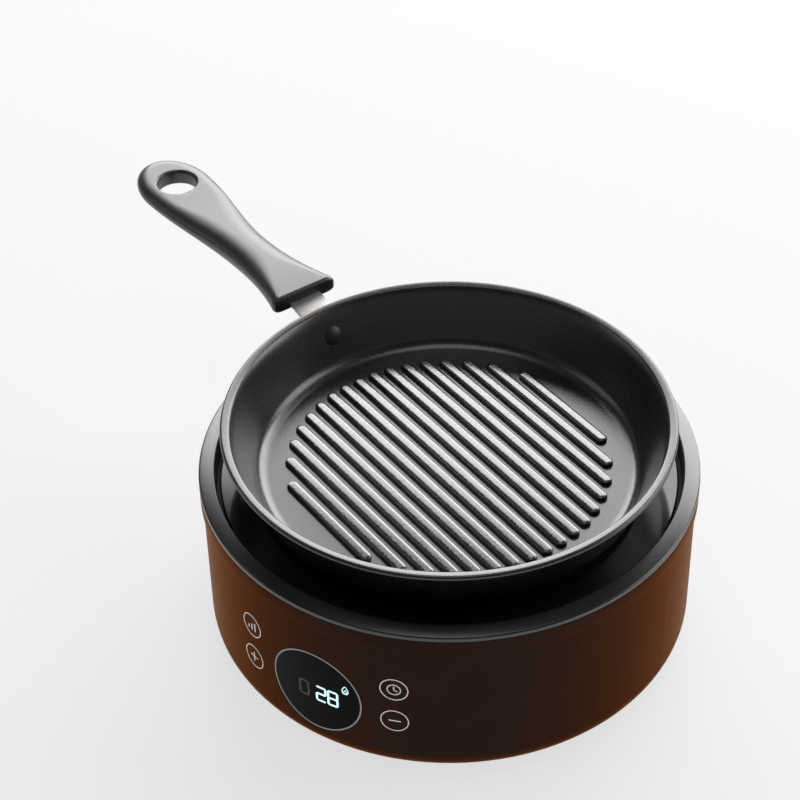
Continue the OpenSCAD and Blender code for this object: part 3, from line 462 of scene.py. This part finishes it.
def handleTang():
    strapOutline = roundedBox(-strap["half"], 0, strap["half"], strap["thick"], strap["edge"], 4)
    count = len(strapOutline)
    points = [(x, y, strap["lowZ"] + rise + z) for x, rise in strapRun for y, z in strapOutline]
    faces = [list(range(count)), list(range(3 * count, 4 * count))]
    for low in (0, count, 2 * count):
        faces += hoop(low, low + count, count)
    # the foot lies on the leaning wall
    plan = roundedBox(-foot["reach"], -foot["half"], foot["reach"], foot["half"], foot["corner"], 5)
    lean = math.radians(pan["lean"])
    along, out = Vector((math.sin(lean), 0, math.cos(lean))), Vector((math.cos(lean), 0, -math.sin(lean)))
    middle = Vector((panOut(foot["rivetZ"]), 0, foot["rivetZ"]))
    bevel = 0.3 * foot["edge"]
    rows = [(-foot["buried"], 0.0), (foot["thick"] - foot["edge"], 0.0), (foot["thick"] - bevel, bevel),
            (foot["thick"], foot["edge"])]  # height over the wall, inset
    start = len(points)
    for height, inset in rows:
        for a, b in plan:
            shrinkA, shrinkB = 1 - inset / foot["reach"], 1 - inset / foot["half"]
            spot = middle + along * a * shrinkA + out * height
            points.append((spot.x, b * shrinkB, spot.z))
    size = len(plan)
    for k in range(len(rows) - 1):
        low = start + k * size
        faces += hoop(low, low + size, size)
    faces += [list(range(start, start + size)), list(range(len(points) - size, len(points)))]
    return settle(fromPoints("handleTang", turned(points, pan["angle"]), faces), crease=35)


dress(handleTang(), "pan", "tang_steel", "handle_tang")

grip = dict(start=134.5, corner=2.2, nearHalf=20.4, waistHalf=13.2, waistX=192.5, farHalf=21.2, holeX=272.5,
            tip=30.5, holeR=11.6, topZ=132.4, dip=3.9, thick=10.2, endThick=9.5, belly=2.9, levelX=258.9,
            crown=0.52, domeNear=5.2, domeRun=44.0, dome=12.6, domeLow=5.4, domeFarX=222.0, domeFar=8.5,
            endEdge=2.1, holeEdge=1.7)
gripMesh = dict(endRows=8, cornerRows=8, sideRows=76, tipRows=36, domeSteps=14, backSteps=8, holeSteps=6,
                spineIn=12.0, turnX=246.0, domeShare=0.9)


def ease(t):
    # soft step from 0 to 1
    return (1 - math.cos(math.pi * min(1, max(0, t)))) / 2


def gripHalf(x):
    if x < grip["waistX"]:
        flare = (grip["waistX"] - x) / (grip["waistX"] - grip["start"] - grip["corner"])
        return grip["waistHalf"] + (grip["nearHalf"] - grip["waistHalf"]) * flare ** 2
    return (grip["waistHalf"] + (grip["farHalf"] - grip["waistHalf"])
            * ease((x - grip["waistX"]) / (grip["holeX"] - grip["waistX"])))


def gripOutline():
    # half outline from the near end round to the tip
    rows, sides, tips = gripMesh["endRows"], gripMesh["sideRows"], gripMesh["tipRows"]
    first, straight = grip["start"] + grip["corner"], grip["nearHalf"] - grip["corner"]
    flat = [(grip["start"], straight * i / rows) for i in range(rows)]
    flat += arc(first, straight, grip["corner"], 180, 90, gripMesh["cornerRows"])
    xs = [first + (grip["holeX"] - first) * i / sides for i in range(1, sides + 1)]
    turns = [math.radians(90 * i / tips) for i in range(1, tips + 1)]
    return (flat + [(x, gripHalf(x)) for x in xs]
            + [(grip["holeX"] + grip["tip"] * math.sin(t), grip["farHalf"] * math.cos(t)) for t in turns])


def handleGrip():
    outline = gripOutline()
    flanks = outline[gripMesh["endRows"] + gripMesh["cornerRows"]:]  # from the end of the near corner on
    spineStart, spineEnd = grip["start"] + gripMesh["spineIn"], grip["holeX"] - grip["holeR"]
    turnX = gripMesh["turnX"]
    openAngle = math.atan2(gripHalf(turnX), turnX - grip["holeX"])

    def innerPoint(x, y):
        # where a column from the outline ends: on the middle line or on the hang hole
        if x <= spineStart:
            return spineStart, 0.0
        if x <= turnX:
            return spineStart + (x - spineStart) * (spineEnd - spineStart) / (turnX - spineStart), 0.0
        t = math.pi * math.atan2(y, x - grip["holeX"]) / openAngle
        return grip["holeX"] + grip["holeR"] * math.cos(t), grip["holeR"] * math.sin(t)

    def domeReach(x):
        # round edges at both ends, a full round back at the waist
        nearShare = ease((x - grip["start"]) / grip["domeRun"])
        near = grip["domeNear"] + (grip["dome"] - grip["domeNear"]) * nearShare
        farShare = (x - grip["domeFarX"]) / (grip["levelX"] - grip["domeFarX"])
        return near + (grip["domeFar"] - near) * ease(farShare)

    def levels(x, y):
        # top and underside at a spot, by its distance from the flanks, the near end and the hole
        away = min(math.hypot(x - a, y - b) for a, b in flanks)
        if x < flanks[0][0]:
            away = min(away, grip["nearHalf"] - y)
        share = min(1, max(0, (x - grip["start"]) / (grip["levelX"] - grip["start"])))
        top = grip["topZ"] - grip["dip"] * ease(share)
        thick = grip["thick"] + (grip["endThick"] - grip["thick"]) * ease(share)
        low = top - thick - grip["belly"] * math.sin(math.pi * share) ** 2
        middle = top - (top - low) * grip["crown"]
        reach, reachLow = domeReach(x), min(grip["domeLow"], domeReach(x))
        edge = max(0, grip["endEdge"] - (x - grip["start"]))
        cutEnd = grip["endEdge"] - math.sqrt(max(0, grip["endEdge"] ** 2 - edge ** 2))
        hole = max(0, grip["holeEdge"] - max(0, math.hypot(x - grip["holeX"], y) - grip["holeR"]))
        cutEnd += grip["holeEdge"] - math.sqrt(max(0, grip["holeEdge"] ** 2 - hole ** 2))
        rise = math.sqrt(max(0, 1 - max(0, 1 - away / reach) ** 2))
        fall = math.sqrt(max(0, 1 - max(0, 1 - away / reachLow) ** 2))
        return middle + rise * (top - middle - cutEnd), middle - fall * (middle - low - cutEnd)

    domeSteps, backSteps, holeSteps = gripMesh["domeSteps"], gripMesh["backSteps"], gripMesh["holeSteps"]
    points, rows, onHole = [], [], []
    for side in (1, -1):
        for x, y in outline:
            a, b = innerPoint(x, y)
            span = math.hypot(a - x, b - y)
            reach = min(domeReach(x), gripMesh["domeShare"] * span)
            last = 1 - grip["holeEdge"] / span if b > 0 or a >= spineEnd else 1.0
            # close rows over the round edge, even ones over the back, close ones into the hole
            shares = [min(reach * (1 - math.cos(math.pi / 2 * k / domeSteps)) / span, last)
                      for k in range(domeSteps + 1)]
            shares += [shares[-1] + (last - shares[-1]) * k / backSteps for k in range(1, backSteps + 1)]
            shares += [1 - (1 - last) * (1 - math.sin(math.pi / 2 * k / holeSteps))
                       for k in range(1, holeSteps + 1)]
            column = []
            for share in shares:
                px, py = x + (a - x) * share, y + (b - y) * share
                column.append((len(points), len(points) + 1))
                points += [(px, side * py, z) for z in levels(px, py)]
            rows.append(column)
            onHole.append(last < 1)
    faces = []
    for c in range(len(rows) - 1):
        if c == len(outline) - 1:  # between the two sides
            continue
        one, two = rows[c], rows[c + 1]
        for k in range(len(one) - 1):
            for level in (0, 1):
                faces.append([one[k][level], one[k + 1][level], two[k + 1][level], two[k][level]])
        faces.append([one[0][0], one[0][1], two[0][1], two[0][0]])
        if onHole[c] and onHole[c + 1]:
            faces.append([one[-1][0], one[-1][1], two[-1][1], two[-1][0]])
    return settle(fromPoints("handleGrip", turned(points, pan["angle"]), faces), crease=60)


dress(handleGrip(), "pan", "grip_black", "handle_grip")
print("handle made")


# Marks on the curved wall: strokes laid along it, u to the right and z up, seen from the front

panel = dict(wallR=129.8, windowR=129.9, windowZ=44.8, keyU=43.4, keyUpZ=62.5, keyLowZ=40.0, keyRing=7.1,
             line=0.55, proud=0.07, sunk=0.05, capAngles=(12, 35, 62))


def stroke(path, width, closed=False, step=1.2):
    # centre line to stations (spot, across, along, half width), with round ends
    spots = [Vector(spot) for spot in path] + ([Vector(path[0])] if closed else [])
    fine = [spots[0]]
    for a, b in zip(spots, spots[1:]):
        count = max(1, math.ceil((b - a).length / step))
        fine += [a + (b - a) * k / count for k in range(1, count + 1)]
    if closed:
        fine.pop()
    stations = []
    for i, spot in enumerate(fine):
        before = fine[i - 1] if closed or i else spot
        after = fine[(i + 1) % len(fine)] if closed or i + 1 < len(fine) else spot
        along = (after - before).normalized()
        stations.append((spot, Vector((-along.y, along.x)), along, width / 2))
    if not closed:
        first, last = stations[0], stations[-1]
        caps = [math.radians(angle) for angle in panel["capAngles"]]
        opened = [(first[0] - first[2] * width / 2 * math.cos(t), first[1], first[2], width / 2 * math.sin(t))
                  for t in caps]
        ended = [(last[0] + last[2] * width / 2 * math.cos(t), last[1], last[2], width / 2 * math.sin(t))
                 for t in reversed(caps)]
        stations = opened + stations + ended
    return stations, closed


def markPiece(name, strokes, baseR, slotName, made):
    # strokes of one print, a little sunk into the wall and a little proud of it
    low, high = baseR - panel["sunk"], baseR + panel["proud"]
    points, faces = [], []
    for stations, closed in strokes:
        start = len(points)
        for spot, across, _, half in stations:
            for side, r in ((1, low), (1, high), (-1, high), (-1, low)):
                u, z = spot + across * half * side
                t = u / panel["wallR"]
                points.append((r * math.sin(t), -r * math.cos(t), z))
        count = len(stations)
        for k in range(count if closed else count - 1):
            a, b = start + 4 * k, start + 4 * ((k + 1) % count)
            faces += hoop(a, b, 4)
        if not closed:
            faces += [[start + c for c in range(4)], [start + 4 * count - 4 + c for c in range(4)]]
    piece = dress(settle(fromPoints(name, points, faces), crease=30), "base", slotName)
    piece.data.materials[0] = made


def circle(u, z, r, steps=48):
    turns = [2 * math.pi * k / steps for k in range(steps)]
    return [(u + r * math.cos(t), z + r * math.sin(t)) for t in turns]


def moved(path, u, z):
    return [(a + u, b + z) for a, b in path]


digits = dict(width=5.2, height=9.6, line=1.25, gap=0.62, dim=-6.6, first=3.6, second=10.4, drop=0.8,
              shown=("2", "8"))
lit = {"2": "abged", "8": "abcdefg"}
flame = dict(u=17.6, z=9.4, size=2.1, line=0.5, step=0.6, innerShare=0.45, innerDown=0.55, innerLine=0.45,
             innerStep=0.5, points=26, neck=0.35, taper=1.5, tall=1.25)


def digitStrokes(segments, u, z):
    w, h, g = digits["width"] / 2, digits["height"] / 2, digits["gap"]
    bars = {"a": ((-w + g, h), (w - g, h)), "g": ((-w + g, 0), (w - g, 0)), "d": ((-w + g, -h), (w - g, -h)),
            "f": ((-w, g), (-w, h - g)), "b": ((w, g), (w, h - g)),
            "e": ((-w, -h + g), (-w, -g)), "c": ((w, -h + g), (w, -g))}
    return [stroke(moved(bars[name], u, z), digits["line"]) for name in segments]


def glow(name, color, level):
    shade = [0.85 * c for c in color]
    return finish(name, color, shade, 0.5, **{"Emission Color": (*color, 1), "Emission Strength": level})


def drop(r, up, u, z):
    # a closed drop, narrow at its top
    turns = [2 * math.pi * k / flame["points"] for k in range(flame["points"])]
    wide = 1 - flame["neck"]
    return moved([(r * math.sin(t) * (flame["neck"] + wide * math.sin(t / 2) ** flame["taper"]),
                   up + r * (math.cos(t) * flame["tall"])) for t in turns], u, z)


def flameStrokes(u, z):
    # plain flame: a drop with a smaller one inside
    outer = drop(flame["size"], 0, u, z)
    inner = drop(flame["size"] * flame["innerShare"], -flame["size"] * flame["innerDown"], u, z)
    return [stroke(outer, flame["line"], True, flame["step"]),
            stroke(inner, flame["innerLine"], True, flame["innerStep"])]


def displayMarks():
    z = panel["windowZ"] - digits["drop"]
    bright = sum((digitStrokes(lit[sign], u, z) for sign, u in
                  zip(digits["shown"], (digits["first"], digits["second"]))), [])
    bright += flameStrokes(flame["u"], z + flame["z"])
    made = glow("litSegment", (0.62, 0.93, 1.0), 1.0)
    markPiece("litMarks", bright, panel["windowR"], "window_black", made)
    ghost = digitStrokes("abcdef", digits["dim"], z)  # a third place, unlit
    made = glow("dimSegment", (0.02, 0.024, 0.027), 0.3)
    markPiece("dimMarks", ghost, panel["windowR"], "window_black", made)


signs = dict(cross=2.9, crossLine=0.7, barGap=2.6, barFoot=-2.6, barTops=(-0.9, 0.9, 2.6), barLine=0.8,
             clockR=3.4, clockLine=0.55, clockSteps=40, hands=[(0, 2.0), (0, 0), (1.6, -1.0)])


def keyMarks():
    left, right, up, low = -panel["keyU"], panel["keyU"], panel["keyUpZ"], panel["keyLowZ"]
    strokes = [stroke(circle(u, z, panel["keyRing"]), panel["line"], True)
               for u in (left, right) for z in (up, low)]
    # minus at the lower right, plus at the lower left
    arm = signs["cross"]
    strokes += [stroke(moved([(-arm, 0), (arm, 0)], u, low), signs["crossLine"]) for u in (left, right)]
    strokes += [stroke(moved([(0, -arm), (0, arm)], left, low), signs["crossLine"])]
    # three rising bars, and a clock
    for k, top in enumerate(signs["barTops"]):
        x = (k - 1) * signs["barGap"]
        strokes += [stroke(moved([(x, signs["barFoot"]), (x, top)], left, up), signs["barLine"])]
    strokes += [stroke(circle(right, up, signs["clockR"], signs["clockSteps"]), signs["clockLine"], True),
                stroke(moved(signs["hands"], right, up), signs["clockLine"])]
    # the printed icons carry a faint painted glow (emission), which brightens them beyond the lamps' light
    made = glow("keyPrintPaintedGlow", (0.80, 0.79, 0.77), 0.32)
    markPiece("keyMarks", strokes, panel["wallR"], "housing_brown", made)


displayMarks()
keyMarks()
print("display and keys marked")


# Floor screws: one cross-head screw, copied round the underside by Geometry Nodes

screws = dict(count=6, ringR=113.9, firstAngle=15.0, headR=2.8, headZ=4.0, seatZ=5.6, edgeZ=5.2, threadR=1.5,
              taperZ=12.2, threadTop=13.0, tipR=0.6, slotHalf=0.42, slotReach=1.7, slotDeep=0.9,
              slotTaper=0.55, cutterZ=3.0, dome=((0, 4.0), (1.6, 4.06), (2.3, 4.3), (2.68, 4.75)))


def crossScrew():
    # head downwards, with a cross recess cut into its low dome
    body = lathe("screwBody", [
        *screws["dome"], (screws["headR"], screws["edgeZ"]), (screws["headR"], screws["seatZ"]),
        (screws["threadR"], screws["seatZ"]), (screws["threadR"], screws["taperZ"]),
        (screws["tipR"], screws["threadTop"]), (0, screws["threadTop"])], steps=24)
    w, r, k = screws["slotHalf"], screws["slotReach"], screws["slotTaper"]
    d = screws["headZ"] + screws["slotDeep"]
    plan = [(r, -w), (r, w), (w, w), (w, r), (-w, r), (-w, w),
            (-r, w), (-r, -w), (-w, -w), (-w, -r), (w, -r), (w, -w)]
    n = len(plan)
    cutter = fromPoints("crossCutter",
                        [(x, y, screws["cutterZ"]) for x, y in plan] + [(x * k, y * k, d) for x, y in plan],
                        [list(range(n)), list(range(n, 2 * n))] + hoop(0, n, n))
    settle(cutter)
    bite = body.modifiers.new("cross", "BOOLEAN")
    bite.operation, bite.object, bite.solver = "DIFFERENCE", cutter, "EXACT"
    mesh = bpy.data.meshes.new_from_object(body.evaluated_get(bpy.context.evaluated_depsgraph_get()))
    body.modifiers.clear()
    body.data = mesh
    bpy.data.objects.remove(cutter)
    return settle(body, crease=35)


def ringTree():
    tree = bpy.data.node_groups.new("screwRing", "GeometryNodeTree")
    tree.is_modifier = True
    face = tree.interface
    face.new_socket("Geometry", in_out="OUTPUT", socket_type="NodeSocketGeometry")
    for name, kind in (("Screw", "NodeSocketObject"), ("Count", "NodeSocketInt"),
                       ("Ring Radius", "NodeSocketFloat"), ("First Angle", "NodeSocketFloat"),
                       ("Steel", "NodeSocketMaterial")):
        face.new_socket(name, in_out="INPUT", socket_type=kind)
    add, link = tree.nodes.new, tree.links.new
    given = add("NodeGroupInput").outputs
    circleNode = add("GeometryNodeMeshCircle")
    link(given["Count"], circleNode.inputs["Vertices"])
    link(given["Ring Radius"], circleNode.inputs["Radius"])
    swing = add("GeometryNodeTransform")
    turn = add("ShaderNodeCombineXYZ")
    link(given["First Angle"], turn.inputs["Z"])
    link(circleNode.outputs["Mesh"], swing.inputs["Geometry"])
    link(turn.outputs[0], swing.inputs["Rotation"])
    source = add("GeometryNodeObjectInfo")
    link(given["Screw"], source.inputs["Object"])
    copies = add("GeometryNodeInstanceOnPoints")
    link(swing.outputs["Geometry"], copies.inputs["Points"])
    link(source.outputs["Geometry"], copies.inputs["Instance"])
    real = add("GeometryNodeRealizeInstances")
    link(copies.outputs["Instances"], real.inputs["Geometry"])
    coat = add("GeometryNodeSetMaterial")
    link(real.outputs["Geometry"], coat.inputs["Geometry"])
    link(given["Steel"], coat.inputs["Material"])
    link(coat.outputs["Geometry"], add("NodeGroupOutput").inputs["Geometry"])
    return tree


oneScrew = crossScrew()
floorScrews = fromNodes("floorScrews", ringTree(), {
    "Screw": oneScrew, "Count": screws["count"], "Ring Radius": screws["ringR"] * mm,
    "First Angle": math.radians(screws["firstAngle"]), "Steel": finishes["screw_steel"]})
bpy.data.objects.remove(oneScrew)
dress(floorScrews, "base", "screw_steel", "base_screws")
print("floor screws:", screws["count"])


# Floor, light and camera

# for each lamp: azimuth, rise, reach, width, height, level
lamps = dict(backBox=(167, 25, 3.0, 4.1, 2.1, 4.8), topBox=(180, 90, 1.5, 0.8, 0.8, 1.0),
             leftBox=(-100, 32, 1.6, 0.7, 0.9, 0.5), rightBox=(100, 28, 1.8, 1.0, 1.2, 2.2))
lampAimZ, wattsPerArea = 0.08, 4


def softbox(name, azimuth, rise, reach, width, height, level):
    # azimuth is counted from the camera's side, level is the radiance of the lit face
    lamp = bpy.data.lights.new(name, "AREA")
    lamp.shape, lamp.size, lamp.size_y = "RECTANGLE", width, height
    lamp.energy = level * wattsPerArea * width * height
    holder = bpy.data.objects.new(name, lamp)
    scene.collection.objects.link(holder)
    t, e = math.radians(azimuth + shot["turn"]), math.radians(rise)
    aim = Vector((math.sin(t) * math.cos(e), -math.cos(t) * math.cos(e), math.sin(e)))
    holder.location = aim * reach + Vector((0, 0, lampAimZ))
    holder.rotation_euler = aim.to_track_quat("Z", "Y").to_euler()


shot = dict(focal=99.0, sensor=36.0, near=0.01, far=50, reach=1.15202, lookZ=0.104, rise=41.25507, turn=31.4,
            yaw=1.263017, pitch=-1.460298, roll=0.214893)


def aimCamera():
    lens = bpy.data.cameras.new("shotCamera")
    lens.lens, lens.sensor_width = shot["focal"], shot["sensor"]
    lens.clip_start, lens.clip_end = shot["near"], shot["far"]
    holder = bpy.data.objects.new("shotCamera", lens)
    scene.collection.objects.link(holder)
    e = math.radians(shot["rise"])
    right = Vector((1, 0, 0))
    ahead, up = Vector((0, math.cos(e), -math.sin(e))), Vector((0, math.sin(e), math.cos(e)))
    # looks at the middle, then swings by yaw, pitch and roll
    angles = [math.radians(shot[key]) for key in ("yaw", "pitch", "roll")]
    (cy, sy), (cp, sp), (cr, sr) = [(math.cos(t), math.sin(t)) for t in angles]
    right, ahead = right * cy + ahead * sy, ahead * cy - right * sy
    up, ahead = up * cp + ahead * sp, ahead * cp - up * sp
    right, up = right * cr - up * sr, right * sr + up * cr
    spin = Matrix.Rotation(math.radians(shot["turn"]), 3, "Z")
    turn = Matrix((spin @ right, spin @ up, spin @ -ahead)).transposed()
    back = Vector((0, -shot["reach"] * math.cos(e), shot["reach"] * math.sin(e)))
    place = spin @ back + Vector((0, 0, shot["lookZ"]))
    holder.matrix_world = Matrix.Translation(place) @ turn.to_4x4()
    scene.camera = holder


room = dict(floorHalf=4000, floorTone=(0.93, 0.93, 0.93), floorRough=0.9, floorShine=0.1, floorGlow=0.75,
            horizon=0.24, ceiling=0.06, paleBelow=0.62, dimAbove=0.72)


def makeRoom():
    h = room["floorHalf"]
    floor = fromPoints("floor", [(-h, -h, 0), (h, -h, 0), (h, h, 0), (-h, h, 0)], [[0, 1, 2, 3]])
    tone = bpy.data.materials.new("floorTone")
    tone.use_nodes = True
    tree = tone.node_tree
    base = tree.nodes["Principled BSDF"]
    base.inputs["Base Color"].default_value = (*room["floorTone"], 1)
    base.inputs["Roughness"].default_value = room["floorRough"]
    base.inputs["Specular IOR Level"].default_value = room["floorShine"]
    # what looks at the floor sees it part lit and part white by itself, so the shadow stays soft
    white = nodeIn(tree, "ShaderNodeEmission", Color=(*room["floorTone"], 1), Strength=1.0)
    soft = nodeIn(tree, "ShaderNodeMixShader")
    soft.inputs[0].default_value = room["floorGlow"]
    shown = nodeIn(tree, "ShaderNodeMixShader")
    ray = nodeIn(tree, "ShaderNodeLightPath")
    seen = nodeIn(tree, "ShaderNodeMath", operation="MAXIMUM")
    either = nodeIn(tree, "ShaderNodeMath", operation="MAXIMUM")
    for source, target in ((base.outputs[0], soft.inputs[1]), (white.outputs[0], soft.inputs[2]),
                           (base.outputs[0], shown.inputs[1]), (soft.outputs[0], shown.inputs[2]),
                           (ray.outputs["Is Camera Ray"], seen.inputs[0]),
                           (ray.outputs["Is Glossy Ray"], seen.inputs[1]),
                           (ray.outputs["Is Transmission Ray"], either.inputs[1]),
                           (seen.outputs[0], either.inputs[0]), (either.outputs[0], shown.inputs[0]),
                           (shown.outputs[0], tree.nodes["Material Output"].inputs["Surface"])):
        tree.links.new(source, target)
    floor.data.materials.append(tone)
    # pale round the horizon, dim overhead between the lamps
    world = bpy.data.worlds.new("room")
    scene.world = world
    world.use_nodes = True
    tree = world.node_tree
    sky = tree.nodes["Background"]
    place = tree.nodes.new("ShaderNodeTexCoord")
    apart = tree.nodes.new("ShaderNodeSeparateXYZ")
    height = nodeIn(tree, "ShaderNodeMapRange")
    height.inputs["From Min"].default_value = -1
    ramp = tree.nodes.new("ShaderNodeValToRGB")
    for element, spot, level in zip(ramp.color_ramp.elements, (room["paleBelow"], room["dimAbove"]),
                                    (room["horizon"], room["ceiling"])):
        element.position, element.color = spot, (level, level, level, 1)
    tree.links.new(place.outputs["Generated"], apart.inputs[0])
    tree.links.new(apart.outputs["Z"], height.inputs["Value"])
    tree.links.new(height.outputs["Result"], ramp.inputs["Fac"])
    tree.links.new(ramp.outputs["Color"], sky.inputs["Color"])


makeRoom()
for name, setting in lamps.items():
    softbox(name, *setting)
aimCamera()
print("room, lamps and camera set")
